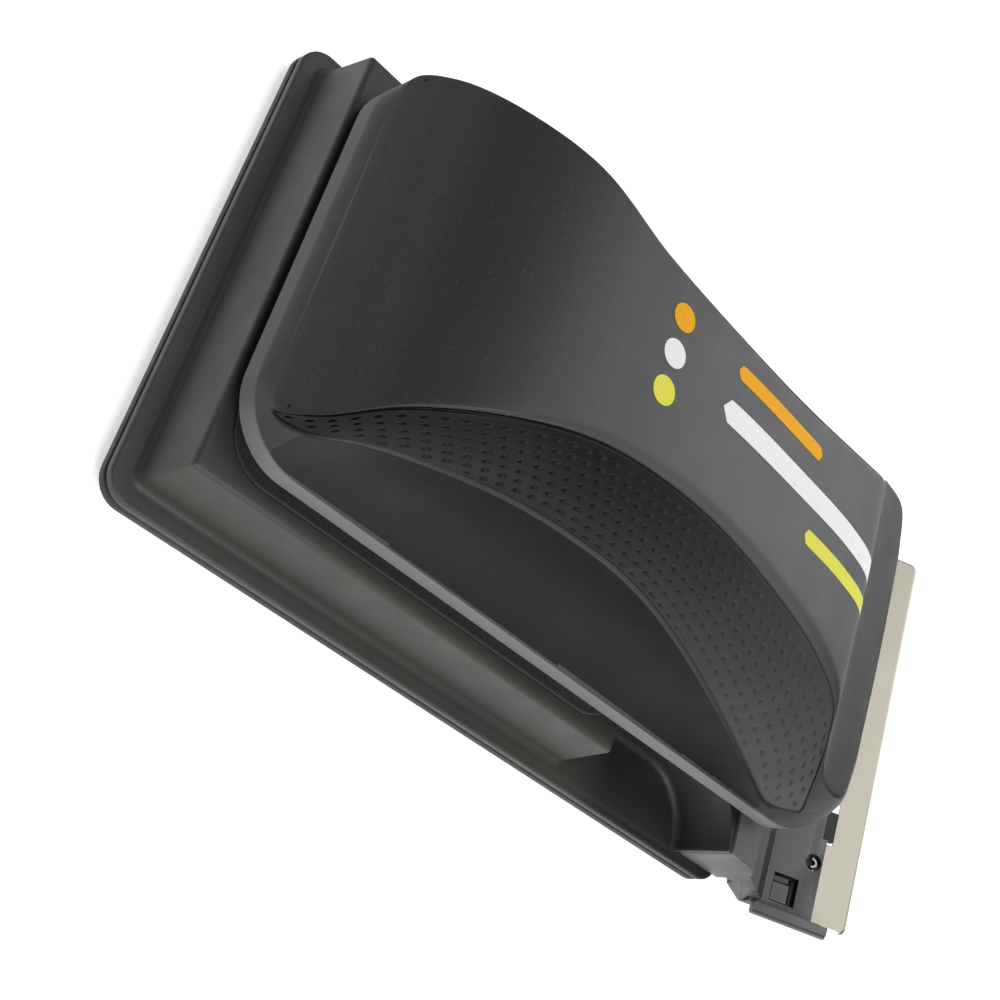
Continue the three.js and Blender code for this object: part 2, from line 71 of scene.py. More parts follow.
MOUNT_X0, MOUNT_HALF = 61.6, 43
HEEL_X, HEEL_Z = 76.3, 9.9
FOLD_X, FOLD_Z = 85.5, 9.0
INCLINE = math.radians(30)
CARRIER_WIDE, CARRIER_THICK = 11.6, 1.8
BLADE_ROOT, BLADE_OUT, BLADE_HALF, BLADE_THICK = 6.8, 20.2, 43, 0.5
SLOT_U0, SLOT_U1, SLOT_IN, SLOT_OUT = 10.5, 13.8, 17, 26
PIN_U, PIN_V, PIN_RADIUS = 9.6, 31.4, 1.1
TAB_OUT, TAB_LONG = 45.6, 15.1
BED_TOP = -(CARRIER_THICK + BLADE_THICK + 2 * GAP + 0.1)
BED_BOTTOM = BED_TOP - 2

# On the blade's slope: U runs out from the fold, V along the blade, and W up from the carrier's top face.
WINDOW_U0, WINDOW_U1, WINDOW_V0, WINDOW_V1 = 2.0, 7.4, -41.9, -36.0
TONGUE_U0, TONGUE_U1, TONGUE_V0, TONGUE_V1 = 2.15, 5.7, -41.75, -36.3
TONGUE_W0, TONGUE_W1, TONGUE_THINNING = -1.5, -0.15, 1.1
TONGUE_SOFTENING = 0.06
CLAW_U0, CLAW_U1, CLAW_W0, CLAW_W1 = SLOT_U0 - 0.8, SLOT_U1 - 0.4, -2.55, -1.1
CLAW_SIDE_PLAY, CLAW_SHORTER = 0.4, 2.4
HOOK_IN, HOOK_OUT, HOOK_SWEEP = 0.62, 1.02, math.radians(100)
HOOK_W0, HOOK_W1 = -1.5, -0.5
PIN_HEAD_W0, PIN_HEAD_W1 = -2.6, -1.25

LIP_Z, LIP_TOP, LIP_HALF = 23.5, 27.1, 36.5
LIP_X0, LIP_X1 = -71.5, 79.0
LIP_RADIUS_THICK_END, LIP_RADIUS_BLADE_END = 12, 18
SHELL_WALL = 2.6
PALM_CROWN = 0.4
RIDGE_SHARE, RIDGE_FALL_X0, RIDGE_FALL_X1, RIDGE_FALL_POWER = 0.525, -16, 52, 1.8
HOLLOW_FADE_IN, HOLLOW_FADE_OUT = (-69, -58), (44, 60)
SCOOP_BOW_IN, SCOOP_BOW_UP = 0.72, 0.14
GRIP_BOW_IN, GRIP_BOW_UP = 0.29, 0.64
END_POWER_IN, END_POWER_UP = 1.2, 0.85
PALM_SAMPLES = 1300
# The palm's edge from the thick end to the blade end: X, half width and Z.
PALM_EDGE = np.array([
    [-70.4, 25, 30.4], [-69.4, 31.5, 32.3], [-66.0, 31.6, 38.2], [-59.4, 27.5, 47.8],
    [-47.0, 22.5, 56.2], [-30.6, 16.8, 58.6], [-9.0, 14.5, 58.8], [12.6, 15.3, 57.0],
    [30.0, 17.8, 54.8], [41.4, 21.4, 51.6], [48.6, 26.8, 46.0], [55.0, 31.4, 41.8],
    [63.5, 31.0, 40.0], [66.0, 22, 39.6],
], float)
SCOOP_X0, SCOOP_X1 = -65, 56
GRIP_S0, GRIP_S_TIP, GRIP_S_TOP = 0.1, 0.83, 0.75
GRIP_Q0, GRIP_Q1 = 0.505, 0.95
GRIP_END_SCALE = 1.02
GRIP_POCKET_DEPTH, GRIP_DEPTH, GRIP_SUNK, GRIP_EDGE_DROP = 1.5, 1.45, 0.06, 0.3
BEAD_HIGH, BEAD_OUT, BEAD_WIDE = 0.3, 0.55, 0.4
PALM_EDGE_SOFT, PALM_EDGE_REACH = 0.9, 2.2

DIMPLE_PITCH = 2.9
DIMPLE_ROW = 2.0
DIMPLE_HALF_LONG, DIMPLE_HALF_WIDE = 0.68, 0.42
DIMPLE_DEPTH = 0.4

MARK_TILT = math.radians(2)
MARK_LIFT, MARK_THICK = 0.02, 0.05
HIDDEN_BEVEL = 0.15
LIGHT_TARGET = (0, 0, 0.03)
# The camera looks at a point on the floor, turned about its own axis by the roll.
CAMERA_TARGET = Vector((-14.97, -0.36, 0))
CAMERA_DISTANCE = 301.7
CAMERA_AZIMUTH = math.radians(-51.083)
CAMERA_ELEVATION = math.radians(44.808)
CAMERA_ROLL = math.radians(79.035)
CAMERA_SENSOR, CAMERA_LENS = 36, 58.876


# ---------------------------------------------------------------- meshes
def new_object(name, verts_mm, faces):
    """Object from points in millimetres, in the CAD's own frame, with its faces pointing out."""
    mesh = bpy.data.meshes.new(name)
    points = [((x + SHIFT_X) * MM, y * MM, z * MM) for x, y, z in verts_mm]
    mesh.from_pydata(points, [], [list(map(int, f)) for f in faces])
    work = bmesh.new()
    work.from_mesh(mesh)
    bmesh.ops.remove_doubles(work, verts=work.verts, dist=1e-7)
    bmesh.ops.recalc_face_normals(work, faces=work.faces)
    work.to_mesh(mesh)
    work.free()
    obj = bpy.data.objects.new(name, mesh)
    bpy.context.scene.collection.objects.link(obj)
    return obj


def bake_modifiers(obj):
    graph = bpy.context.evaluated_depsgraph_get()
    graph.update()
    mesh = bpy.data.meshes.new_from_object(obj.evaluated_get(graph))
    obj.modifiers.clear()
    obj.data = mesh
    return obj


def combine(obj, tools, operation):
    """Boolean of obj with each tool in turn; the tools are removed."""
    for tool in tools:
        modifier = obj.modifiers.new("combine", "BOOLEAN")
        modifier.operation = operation
        modifier.solver = "EXACT"
        modifier.object = tool
        bake_modifiers(obj)
        bpy.data.objects.remove(tool)
    return obj


def bevel(obj, width_mm, segments=3, angle=30):
    modifier = obj.modifiers.new("edges", "BEVEL")
    modifier.width = width_mm * MM
    modifier.segments = segments
    modifier.limit_method = "ANGLE"
    modifier.angle_limit = math.radians(angle)
    modifier.use_clamp_overlap = True
    return bake_modifiers(obj)


def smooth_shade(obj, angle=40):
    obj.data.shade_smooth()
    obj.data.set_sharp_from_angle(angle=math.radians(angle))


def lattice(counts, place, closed_below=True):
    """Outside of a block of counts cells; place(u, v, w) gives its points for shares 0..1 of the three ways.
    Returns points, faces and, in order, the points round the rim at w = 0."""
    n, m, k = counts
    number = -np.ones((n + 1, m + 1, k + 1), int)
    i, j, l = np.meshgrid(range(n + 1), range(m + 1), range(k + 1), indexing="ij")
    rim_only = (i == 0) | (i == n) | (j == 0) | (j == m)
    shown = rim_only | (l == k) | ((l == 0) if closed_below else False)
    number[shown] = np.arange(shown.sum())
    points = place(i[shown] / n, j[shown] / m, l[shown] / k)

    faces = []

    def grid(a):
        quads = np.stack([a[:-1, :-1], a[1:, :-1], a[1:, 1:], a[:-1, 1:]], -1)
        faces.extend(quads.reshape(-1, 4).tolist())

    for side in (number[0], number[n], number[:, 0], number[:, m], number[:, :, k]):
        grid(side)
    if closed_below:
        grid(number[:, :, 0])
    rim = [*number[:, 0, 0], *number[n, 1:, 0], *number[n - 1::-1, m, 0], *number[0, m - 1:0:-1, 0]]
    return points, faces, rim


def rounded_rect(x0, x1, half, radius, radius_far=None, steps=10):
    """Outline with round corners; radius_far is for the corners at x1."""
    far = radius if radius_far is None else radius_far
    corners = [(x1 - far, -half + far, far, -90), (x1 - far, half - far, far, 0),
               (x0 + radius, half - radius, radius, 90), (x0 + radius, -half + radius, radius, 180)]
    outline = []
    for cx, cy, r, start in corners:
        for step in range(steps + 1):
            angle = math.radians(start + 90 * step / steps)
            outline.append((cx + r * math.cos(angle), cy + r * math.sin(angle)))
    return np.array(outline)


def offset_outline(outline, distance):
    """The outline moved outwards along mitred normals."""
    before = outline - np.roll(outline, 1, 0)
    after = np.roll(outline, -1, 0) - outline

    def normal(edge):
        length = np.maximum(np.linalg.norm(edge, axis=1, keepdims=True), 1e-9)
        return np.stack([edge[:, 1], -edge[:, 0]], 1) / length

    total = normal(before) + normal(after)
    return outline + distance * 2 * total / np.maximum((total ** 2).sum(1, keepdims=True), 0.6)


def loft(name, outline, steps, limit=None):
    """Closed solid through outlines at (offset, height) steps.
    The outline is an array of points, or a function that gives them for an offset."""
    rings = []
    for offset, _ in steps:
        rings.append(outline(offset) if callable(outline) else offset_outline(outline, offset))
    if limit is not None:
        rings = [limit(ring) for ring in rings]
    count = len(rings[0])
    verts = [(x, y, z) for ring, (_, z) in zip(rings, steps) for x, y in ring]
    last = (len(steps) - 1) * count
    faces = []
    for low in range(0, last, count):
        for a in range(count):
            after = (a + 1) % count
            faces.append([low + a, low + after, low + count + after, low + count + a])
    faces.append(list(range(count))[::-1])
    faces.append([last + a for a in range(count)])
    return new_object(name, verts, faces)


def slab_steps(z0, z1, radius, segments=4):
    """Steps of a flat slab with its upper and lower edges rounded."""
    turn = [math.radians(90 * step / segments) for step in range(segments + 1)]
    low = [(-radius * (1 - math.sin(a)), z0 + radius * (1 - math.cos(a))) for a in turn]
    high = [(-radius * (1 - math.cos(a)), z1 - radius * (1 - math.sin(a))) for a in turn]
    return low + high


def wall_steps(foot_z, top_z, draft, foot_radius, top_radius, segments=5):
    """Steps of a wall that rises from a fillet, leans in by its draft and ends in a rounded top edge."""
    turn = [math.radians(90 * step / segments) for step in range(segments + 1)]
    foot = [(foot_radius * (1 - math.sin(a)), foot_z + foot_radius * (1 - math.cos(a))) for a in turn]
    top = [(-draft - top_radius * (1 - math.cos(a)), top_z - top_radius * (1 - math.sin(a))) for a in turn]
    return [(foot_radius, foot_z - 0.6), *foot, *top]


def box_tool(x0, x1, y0, y1, z0, z1, name="tool"):
    verts = [(x, y, z) for x in (x0, x1) for y in (y0, y1) for z in (z0, z1)]
    faces = [(0, 1, 3, 2), (4, 6, 7, 5), (0, 4, 5, 1), (2, 3, 7, 6), (0, 2, 6, 4), (1, 5, 7, 3)]
    return new_object(name, verts, faces)


def rod(x, y, z0, z1, radius, sides=32, name="rod"):
    circle = np.array([(x + radius * math.cos(a), y + radius * math.sin(a))
                       for a in np.linspace(0, 2 * math.pi, sides, endpoint=False)])
    return loft(name, circle, [(0, z0), (0, z1)])


def bar_along_y(name, profile, half):
    """A profile in X and Z, extruded along Y from -half to +half."""
    count = len(profile)
    verts = [(x, y, z) for y in (-half, half) for x, z in profile]
    faces = [[a, (a + 1) % count, count + (a + 1) % count, count + a] for a in range(count)]
    faces += [list(range(count))[::-1], [count + a for a in range(count)]]
    return new_object(name, verts, faces)


def smoothstep(x, low, high):
    t = np.clip((x - low) / (high - low), 0, 1)
    return t * t * (3 - 2 * t)


def lerp(a, b, t):
    return a + (b - a) * t


def bezier(a, b, c, t):
    """Quadratic curve from a to c, drawn towards b."""
    return (1 - t) ** 2 * a + 2 * t * (1 - t) * b + t * t * c


# ---------------------------------------------------------------- the handle's surface
def palm_table():
    """Centripetal Catmull-Rom curve through the palm edge, sampled over its parameter 0..1."""
    shares = np.linspace(0, 1, PALM_SAMPLES)
    ends = [2 * PALM_EDGE[0] - PALM_EDGE[1], *PALM_EDGE, 2 * PALM_EDGE[-1] - PALM_EDGE[-2]]
    spans = len(PALM_EDGE) - 1
    table = []
    for s in shares:
        span = min(int(s * spans), spans - 1)
        t = s * spans - span
        p0, p1, p2, p3 = ends[span:span + 4]
        pairs = ((p0, p1), (p1, p2), (p2, p3))
        d0, d1, d2 = (max(math.sqrt(np.linalg.norm(b - a)), 1e-4) for a, b in pairs)
        m1 = ((p1 - p0) / d0 - (p2 - p0) / (d0 + d1) + (p2 - p1) / d1) * d1
        m2 = ((p2 - p1) / d1 - (p3 - p1) / (d1 + d2) + (p3 - p2) / d2) * d1
        c2 = -3 * p1 + 3 * p2 - 2 * m1 - m2
        c3 = 2 * p1 - 2 * p2 + m1 + m2
        table.append(p1 + m1 * t + c2 * t * t + c3 * t ** 3)
    return shares, np.array(table)


PALM_S, PALM_POINTS = palm_table()


def palm_at(s):
    return [np.interp(s, PALM_S, PALM_POINTS[:, axis]) for axis in range(3)]


def lip_half_width(x, inset):
    def corner(distance, radius):
        left = np.maximum(radius - distance, 0)
        return radius - np.sqrt(np.maximum(radius * radius - left * left, 0))

    thick_end = corner(np.maximum(x - LIP_X0 - inset, 0), LIP_RADIUS_THICK_END - inset)
    blade_end = corner(np.maximum(LIP_X1 - inset - x, 0), LIP_RADIUS_BLADE_END - inset)
    return LIP_HALF - inset - thick_end - blade_end


def side_profile(q, palm_x):
    """Inward and upward shares of the side at height q: a scoop up to the ridge at 0.5, then the grip."""
    hollow = smoothstep(palm_x, *HOLLOW_FADE_IN) * (1 - smoothstep(palm_x, *HOLLOW_FADE_OUT))
    fall = np.clip((palm_x - RIDGE_FALL_X0) / (RIDGE_FALL_X1 - RIDGE_FALL_X0), 0, 1)
    ridge = RIDGE_SHARE * (1 - fall ** RIDGE_FALL_POWER)
    t = np.where(q < 0.5, 2 * q, 2 * q - 1)

    def bent(scoop_bow, grip_bow):
        scoop = bezier(0, scoop_bow * ridge, ridge, t)
        grip = bezier(ridge, ridge + grip_bow * (1 - ridge), 1, t)
        return np.where(q < 0.5, scoop, grip)

    inward = lerp(q ** END_POWER_IN, bent(SCOOP_BOW_IN, GRIP_BOW_IN), hollow)
    upward = lerp(q ** END_POWER_UP, bent(SCOOP_BOW_UP, GRIP_BOW_UP), hollow)
    return inward, upward


def handle_surface(s, b, q, inset=0.0):
    """The handle's surface: s is along it, b across it (-1 near, +1 far) and q up its side.
    A q below 0 is the rim."""
    palm_x, palm_y, palm_z = palm_at(s)
    along = (palm_x - PALM_EDGE[0, 0]) / (PALM_EDGE[-1, 0] - PALM_EDGE[0, 0])
    lip_x = lerp(LIP_X0 + inset, LIP_X1 - inset, along)
    inward, upward = side_profile(np.maximum(q, 0), palm_x)
    x = lerp(lip_x, palm_x + inset * (1 - 2 * along), inward)
    half = lerp(lip_half_width(lip_x, inset), palm_y - inset, inward)
    crown = np.where(q >= 1, PALM_CROWN * (1 - b * b), 0)
    z = np.where(q < 0, LIP_Z, lerp(LIP_TOP - inset * 0.4, palm_z - inset, upward) + crown)
    return np.stack([x, b * half, z], -1)


def side_normal(s, sign, q):
    """Outward normal of the handle's side."""
    step = 0.002
    before, after = np.clip(s - step, 0, 1), np.clip(s + step, 0, 1)
    below, above = np.clip(q - step, 0, 1), np.clip(q + step, 0, 1)
    along = handle_surface(after, sign, q) - handle_surface(before, sign, q)
    up = handle_surface(s, sign, above) - handle_surface(s, sign, below)
    normal = np.cross(along, up)
    normal /= np.maximum(np.linalg.norm(normal, axis=-1, keepdims=True), 1e-9)
    return normal * np.where(normal[..., 1:2] * np.asarray(sign)[..., None] < 0, -1, 1)


def grip_end(q):
    return lerp(GRIP_S_TIP, GRIP_S_TOP, smoothstep(q, GRIP_Q0, GRIP_Q1 + 0.1))


def side_height(s, sign):
    """Straight distance from the lip band to the palm's edge."""
    palm = handle_surface(s, sign, np.ones_like(s))
    return np.linalg.norm(palm - handle_surface(s, sign, np.zeros_like(s)), axis=-1)


def inside_grip(s, sign, q):
    """Roughly how far a point of the side lies inside the grip's outline, in millimetres."""
    step = 0.01
    before = handle_surface(np.maximum(s - step, 0), sign, q)
    after = handle_surface(np.minimum(s + step, 1), sign, q)
    length = GRIP_END_SCALE * np.linalg.norm(after - before, axis=-1) / (2 * step)
    height = side_height(s, sign)
    return np.minimum.reduce([(q - GRIP_Q0) * height, (GRIP_Q1 - q) * height,
                              (s - GRIP_S0) * length, (grip_end(q) - s) * length])


def ease_ends(u):
    return 0.5 * u + 0.25 * (1 - np.cos(np.pi * u))


def handle_shell():
    stations, across, levels = 280, 26, 76

    def outer(u, v, w):
        s = ease_ends(u)
        b = np.sin((v - 0.5) * np.pi * 0.92) / math.sin(0.46 * np.pi)
        rim_share = 1 / levels
        q = np.where(w < rim_share * 0.5, -1, (w - rim_share) / (1 - rim_share))
        points = handle_surface(s, b, q)
        side = (np.abs(b) > 0.999) & (q > 0)
        inside = inside_grip(s[side], np.sign(b[side]), q[side])
        along_ridge = 1 - smoothstep(q[side], GRIP_Q0, GRIP_Q0 + 0.03)
        along_ridge *= smoothstep(s[side], GRIP_S0, GRIP_S0 + 0.04)
        along_ridge *= 1 - smoothstep(s[side], GRIP_S_TIP - 0.09, GRIP_S_TIP - 0.03)
        bead = BEAD_HIGH * along_ridge * np.exp(-((inside + BEAD_OUT) / BEAD_WIDE) ** 2)
        pocket = -GRIP_POCKET_DEPTH * smoothstep(inside, -0.05, 0.25)
        points[side] += side_normal(s[side], np.sign(b[side]), q[side]) * (bead + pocket)[:, None]
        return points

    def inner(u, v, w):
        q = np.where(w < 0.05, -1, (w - 0.1) / 0.9)
        return handle_surface(ease_ends(u), 2 * v - 1, q, SHELL_WALL)

    out_points, out_faces, out_rim = lattice((stations, across, levels), outer, closed_below=False)
    in_points, in_faces, in_rim = lattice((stations, across, 10), inner, closed_below=False)
    start = len(out_points)
    rim_faces = []
    for a in range(len(out_rim)):
        rim_faces.append([out_rim[a], out_rim[a - 1], start + in_rim[a - 1], start + in_rim[a]])
    faces = out_faces + [[start + v for v in f] for f in in_faces] + rim_faces
    obj = new_object("handle_cover", np.vstack([out_points, in_points]), faces)
    soften_palm_edge(obj)
    smooth_shade(obj, 48)
    return obj


def soften_palm_edge(obj):
    """Rounds the edge between the palm and the sides and ends, and the end corners from just above the lip
    band up to the palm.
    """
    group = obj.vertex_groups.new(name="edge")
    samples = 60
    lines = [PALM_POINTS * [1, sign, 1] for sign in (-1, 1)]
    across = [[1, share, 1] for share in np.linspace(-1, 1, samples)]
    lines += [PALM_POINTS[end] * across for end in (0, -1)]
    rise = np.linspace(0.06, 1, samples)
    for s_end in (0.0, 1.0):
        lines += [handle_surface(np.full(samples, s_end), sign, rise) for sign in (-1, 1)]
    edge = np.vstack(lines)
    co = np.array([v.co for v in obj.data.vertices]) / MM - [SHIFT_X, 0, 0]
    near = np.full(len(co), 99.0)
    for start in range(0, len(edge), 200):
        part = edge[start:start + 200]
        near = np.minimum(near, np.sqrt(((co[:, None] - part[None]) ** 2).sum(-1)).min(1))
    for index in np.nonzero(near < PALM_EDGE_REACH)[0]:
        weight = 1 - smoothstep(near[index], PALM_EDGE_SOFT, PALM_EDGE_REACH)
        group.add([int(index)], float(weight), "REPLACE")
    modifier = obj.modifiers.new("soften", "SMOOTH")
    modifier.factor = 0.5
    modifier.iterations = 14
    modifier.vertex_group = "edge"
    bake_modifiers(obj)


def dimple_depth(along, up, edge):
    """Staggered rows of oval dimples, none across the border."""
    row = np.round(up / DIMPLE_ROW)
    offset = np.where(row % 2 == 0, 0, DIMPLE_PITCH / 2)
    column = np.round((along - offset) / DIMPLE_PITCH)
    dx = (along - offset - column * DIMPLE_PITCH) / DIMPLE_HALF_LONG
    dy = (up - row * DIMPLE_ROW) / DIMPLE_HALF_WIDE
    bowl = np.maximum(1 - np.abs(dx) ** 1.5 - dy * dy, 0) ** 0.7
    return DIMPLE_DEPTH * bowl * smoothstep(edge, 0.8, 1.3)


def grip_insert(name, sign):
    margin = 0.12
    counts = (440, 96, 3)
    s_line = np.linspace(0, 1, 600)
    ridge_line = handle_surface(s_line, sign, np.full(600, 0.8))
    length_line = np.concatenate([[0], np.cumsum(np.linalg.norm(np.diff(ridge_line, axis=0), axis=1))])

    def place(u, v, w):
        q = lerp(GRIP_Q0, GRIP_Q1, v)
        s = lerp(GRIP_S0, grip_end(q), u)
        side = np.full_like(s, sign)
        edge = inside_grip(s, sign, q)
        top = -GRIP_SUNK - GRIP_EDGE_DROP * (1 - smoothstep(edge, margin, 0.6)) ** 2
        below_palm = (GRIP_Q1 - q) * side_height(s, sign)
        top -= dimple_depth(np.interp(s, s_line, length_line), below_palm, edge)
        depth = lerp(-GRIP_DEPTH, top, w)
        return handle_surface(s, sign, q) + side_normal(s, side, q) * depth[:, None]

    points, faces, _ = lattice(counts, place)
    obj = new_object(name, points, faces)
    smooth_shade(obj, 60)
    return obj


# ---------------------------------------------------------------- pads
def pad(name, box, radius, radius_far, cell, nap, nap_size, edge_round):
    """Soft slab with rounded edges and a napped surface, in the room of its CAD box."""
    low, high = (corner / MM for corner in box)
    x0, x1, half, z0, z1 = low.x - SHIFT_X, high.x - SHIFT_X, high.y, low.z, high.z
    counts = (round((x1 - x0) / cell), round(2 * half / cell), max(3, round((z1 - z0) / (cell * 0.5))))
    middle = (z0 + z1) / 2

    def place(u, v, w):
        x = lerp(x0, x1, u)
        squeeze = np.zeros_like(x)
        for distance, r in ((x - x0, radius), (x1 - x, radius_far)):
            left = np.maximum(r - distance, 0)
            squeeze += r - np.sqrt(np.maximum(r * r - left * left, 0))
        width = half - squeeze
        bulge = edge_round * (1 - np.sqrt(np.maximum(1 - (2 * w - 1) ** 2, 0)))
        b = 2 * v - 1
        shrink_x = 1 - bulge / (0.5 * (x1 - x0))
        centre = (x0 + x1) / 2
        y = b * np.maximum(width - bulge, 0.05)
        z = lerp(z0, z1, w)
        points = np.stack([centre + (x - centre) * shrink_x, y, z], -1)
        rough = np.array([noise.noise(Vector(p / nap_size)) for p in points])
        out = np.stack([0 * z, 0 * z, np.where(z > middle, 1, -1)], -1)
        rim = (v < 0.001) | (v > 0.999)
        out[rim] = np.stack([0 * z, np.sign(b), 0 * z], -1)[rim]
        return points - out * (nap * (0.5 + 0.5 * rough))[:, None]

    points, faces, _ = lattice(counts, place)
    obj = new_object(name, points, faces)
    smooth_shade(obj, 60)
    return obj


# ---------------------------------------------------------------- cleaner
def float_plan():
    arc_x = NECK_END - SCOOP_RADIUS - 0.8
    arc_y = NECK_HALF + SCOOP_RADIUS
    steps = 28
    near = [(arc_x + SCOOP_RADIUS * math.cos(a), -arc_y + SCOOP_RADIUS * math.sin(a))
            for a in np.linspace(math.pi / 2, 0.04, steps)]
    half = [(BOX_X1 - 6, -NECK_HALF), *near, (NECK_END, -MOUNT_HALF)]
    return np.array(half + [(x, -y) for x, y in reversed(half)])


def housing():
    flange = loft("housing_cover", rounded_rect(FLANGE_X0, FLANGE_X1, FLANGE_HALF, FLANGE_RADIUS),
                  slab_steps(HOUSING_Z, FLANGE_TOP, 0.5))

    def box_outline(offset):
        radius = max(BOX_RADIUS + offset, BOX_CORNER)
        return rounded_rect(BOX_X0 - offset, BOX_X1 + offset, BOX_HALF + offset, radius, steps=6)

    box = loft("box", box_outline, wall_steps(FLANGE_TOP - 0.03, BOX_TOP, DRAFT, FOOT_RADIUS, 1.2))

    def inside_mount(ring):
        return np.stack([np.minimum(ring[:, 0], NECK_END), np.clip(ring[:, 1], -MOUNT_HALF, MOUNT_HALF)], 1)

    neck_steps = wall_steps(FLANGE_TOP - 0.04, BOX_TOP - 0.05, 0, FOOT_RADIUS, 0.5)
    neck = loft("neck", float_plan(), neck_steps, inside_mount)
    combine(flange, [box, neck], "UNION")
    inset = WALL + DRAFT
    half = BOX_HALF - inset
    heights = (HOUSING_Z - 1, BOX_TOP - WALL)
    room = box_tool(BOX_X0 + inset, BOX_X1 - inset, -half, half, *heights)
    float_room = box_tool(BOX_X1 + 1, NECK_END - WALL, -FLOAT_ROOM_HALF, FLOAT_ROOM_HALF, *heights)
    combine(flange, [room, float_room], "DIFFERENCE")
    smooth_shade(flange, 33)
    return flange


def base_plate():
    plate = loft("base_cover", rounded_rect(FLANGE_X0, FLANGE_X1, FLANGE_HALF, FLANGE_RADIUS),
                 slab_steps(BASE_Z, BASE_Z + LAYER, 0.45))
    smooth_shade(plate, 40)
    return plate


def on_slope(u, w):
    c, s = math.cos(INCLINE), math.sin(INCLINE)
    return (FOLD_X + u * c - w * s, FOLD_Z + u * s + w * c)


def blade_mount():
    bottom = FLANGE_TOP + GAP
    shoulder = [(MOUNT_X0 + 3.2, BOX_TOP), (MOUNT_X0 + 8.4, BOX_TOP - 0.2), (MOUNT_X0 + 11.6, BOX_TOP - 4.2)]
    curve = [tuple(bezier(*map(np.array, shoulder), t)) for t in np.linspace(0, 1, 12)]
    lip = np.array(on_slope(0, 1.3))
    slope_start = np.array(shoulder[2])
    down = (lip - slope_start) / np.linalg.norm(lip - slope_start)
    normal = np.array([-down[1], down[0]])
    grooves = []
    for back in (4.4, 2.2):
        middle = lip - down * back
        grooves += [middle - down * 0.6, middle - normal * 0.9, middle + down * 0.6]
    profile = [
        (MOUNT_X0, bottom), (MOUNT_X0, BOX_TOP), *curve, *map(tuple, grooves), tuple(lip),
        on_slope(0, GAP), on_slope(-2.3, GAP), on_slope(-2.3, BED_TOP), on_slope(9.5, BED_TOP),
        on_slope(9.5, BED_BOTTOM), on_slope(-2.5, BED_BOTTOM),
        (HEEL_X, HEEL_Z - 2.3), (HEEL_X, HEEL_Z), (FLANGE_X1, HEEL_Z - 0.7), (FLANGE_X1, bottom),
    ]
    mount = bevel(bar_along_y("mount_block", profile, MOUNT_HALF), 0.35, segments=3, angle=28)
    smooth_shade(mount, 35)
    mount.data.materials.append(LOOKS["mount"])
    # Painted shade: the faces of the lip and its grooves, except those turned to the sides, take the
    # near-black material.
    mount.data.materials.append(LOOKS["painted_shade"])
    for face in mount.data.polygons:
        on_lip = face.center.x / MM - SHIFT_X > FOLD_X - 5.2 and face.center.z > FOLD_Z * MM
        face.material_index = int(on_lip and abs(face.normal.y) < 0.5)
    return mount


def to_slope(obj):
    """Moves a piece made flat at the origin onto the blade's slope."""
    turn = Matrix.Rotation(-INCLINE, 4, "Y")
    place = Matrix.Translation(((FOLD_X + SHIFT_X) * MM, 0, FOLD_Z * MM))
    back = Matrix.Translation((-SHIFT_X * MM, 0, 0))
    obj.data.transform(place @ turn @ back)
    return obj


def slope_slots(outer):
    """Tools for the two slots, from SLOT_U0 out to outer."""
    return [box_tool(SLOT_U0, outer, *span, -4, 4) for span in ((-SLOT_OUT, -SLOT_IN), (SLOT_IN, SLOT_OUT))]


def blade_carrier():
    plate = box_tool(-2, CARRIER_WIDE, -MOUNT_HALF - 0.5, MOUNT_HALF, -CARRIER_THICK, 0, "carrier_frame")
    ledges = [box_tool(-1, TAB_LONG, -TAB_OUT + 0.5, -MOUNT_HALF - 0.35, -1.5, 0.7),
              box_tool(-1, TAB_LONG, -TAB_OUT, -MOUNT_HALF - 0.3, -1.1, 0.25)]
    combine(plate, ledges, "UNION")
    holes = [rod(PIN_U, side * PIN_V, -3, 2, PIN_RADIUS + 0.6) for side in (-1, 1)]
    window = box_tool(WINDOW_U0, WINDOW_U1, WINDOW_V0, WINDOW_V1, -3, 2)
    combine(plate, [*slope_slots(CARRIER_WIDE + 2), *holes, window], "DIFFERENCE")
    claw_in, claw_out = SLOT_IN + CLAW_SHORTER, SLOT_OUT - CLAW_SIDE_PLAY
    claws = [box_tool(CLAW_U0, CLAW_U1, *span, CLAW_W0, CLAW_W1)
             for span in ((-claw_out, -claw_in), (claw_in, claw_out))]
    combine(plate, claws, "UNION")
    bevel(plate, 0.2, segments=2, angle=35)
    smooth_shade(plate, 35)
    plate.data.materials.append(LOOKS["mount"])
    # Painted shade: the carrier's faces below its top, inward of the near ledge, take the near-black
    # material.
    plate.data.materials.append(LOOKS["painted_shade"])
    for face in plate.data.polygons:
        face.material_index = int(face.center.z < -0.3 * MM and face.center.y > (-MOUNT_HALF - 0.3) * MM)
    return to_slope(plate)


def blade():
    z0 = -CARRIER_THICK - GAP - BLADE_THICK
    outline = rounded_rect(BLADE_ROOT, BLADE_OUT, BLADE_HALF, 0.5, 1.6, steps=6)
    sheet = loft("blade_sheet", outline, [(0, z0), (0, z0 + 0.12), (-0.55, z0 + BLADE_THICK)])
    holes = [rod(PIN_U, side * PIN_V, -6, 2, PIN_RADIUS + 0.4) for side in (-1, 1)]
    combine(sheet, [*slope_slots(SLOT_U1), *holes], "DIFFERENCE")
    smooth_shade(sheet, 25)
    return to_slope(sheet)


